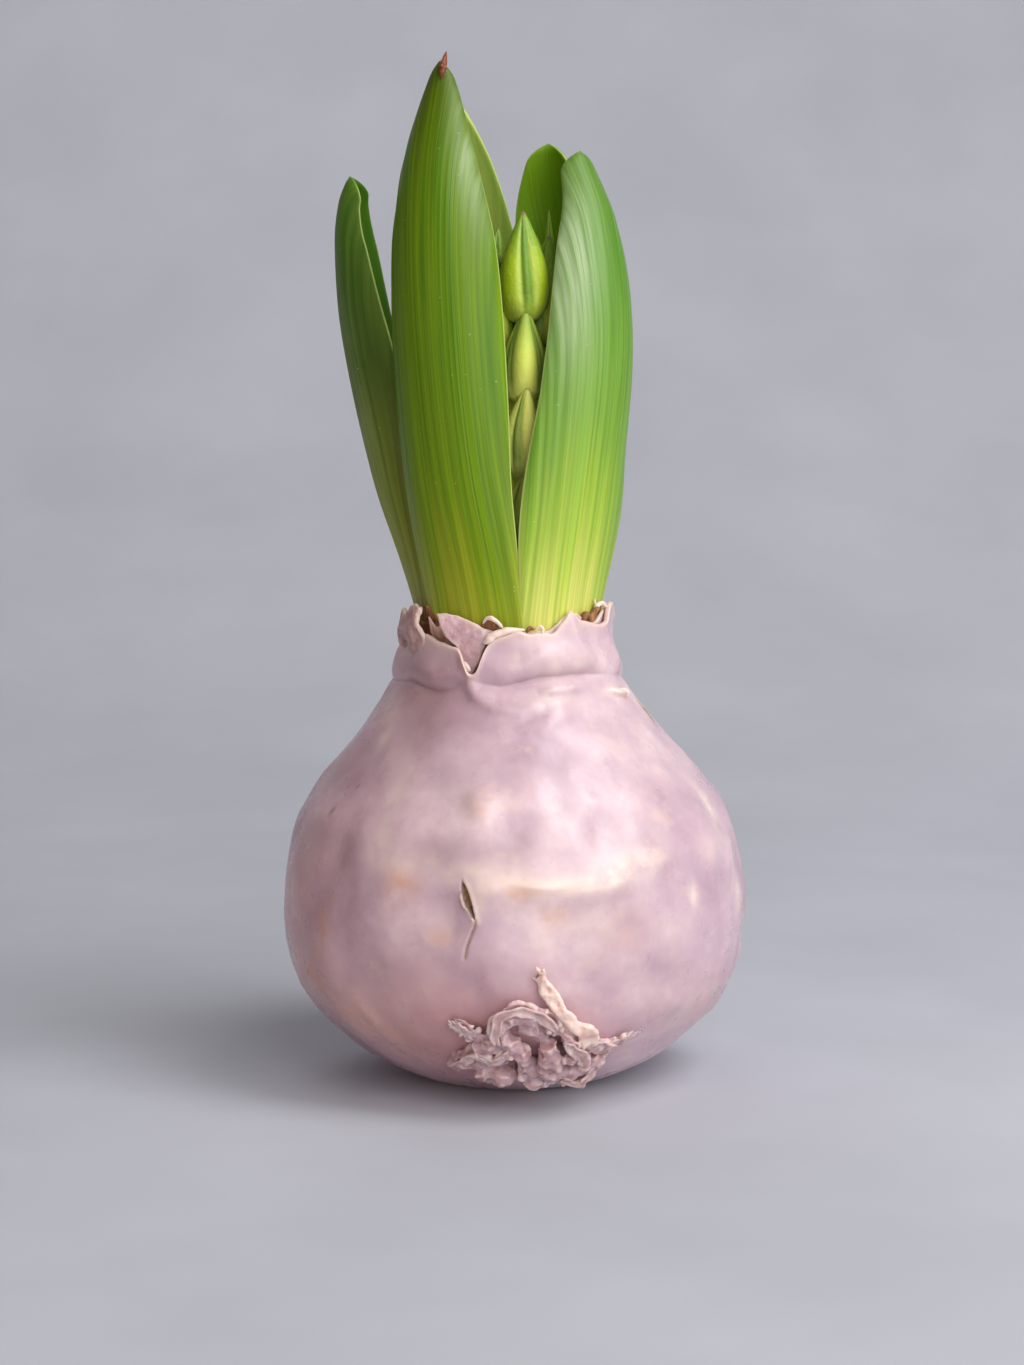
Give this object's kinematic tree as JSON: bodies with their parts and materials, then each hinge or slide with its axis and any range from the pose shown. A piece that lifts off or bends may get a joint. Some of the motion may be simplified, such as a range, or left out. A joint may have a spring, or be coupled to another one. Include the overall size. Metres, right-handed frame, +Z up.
{
  "type": "waxed hyacinth bulb",
  "caption": "Hyacinth bulb dipped in mauve wax, with upright green leaves round a head of closed flower buds.",
  "frame": {"origin": "middle of the plant's outer box, on the surface that the bulb stands on", "axes": "+Z up along the stem, -Y towards the front with the split and the torn wax, +X to the right"},
  "size_m": [0.0722, 0.0734, 0.157],
  "materials": {
    "wax": "soft satin wax with pale mottling",
    "torn_wax": "crumpled wax",
    "tunic": "dry papery skin",
    "leaf": "satin, finely ribbed",
    "dry_tip": "dry",
    "buds": "satin"
  },
  "bodies": {
    "root": {"wax_coat": "wax", "bulb": "tunic", "leaf_front_left": "leaf", "leaf_front_right": "leaf", "leaf_left": "leaf", "leaf_back_left": "leaf", "leaf_back_right": "leaf", "flower_head": "buds"}
  },
  "joints": []
}
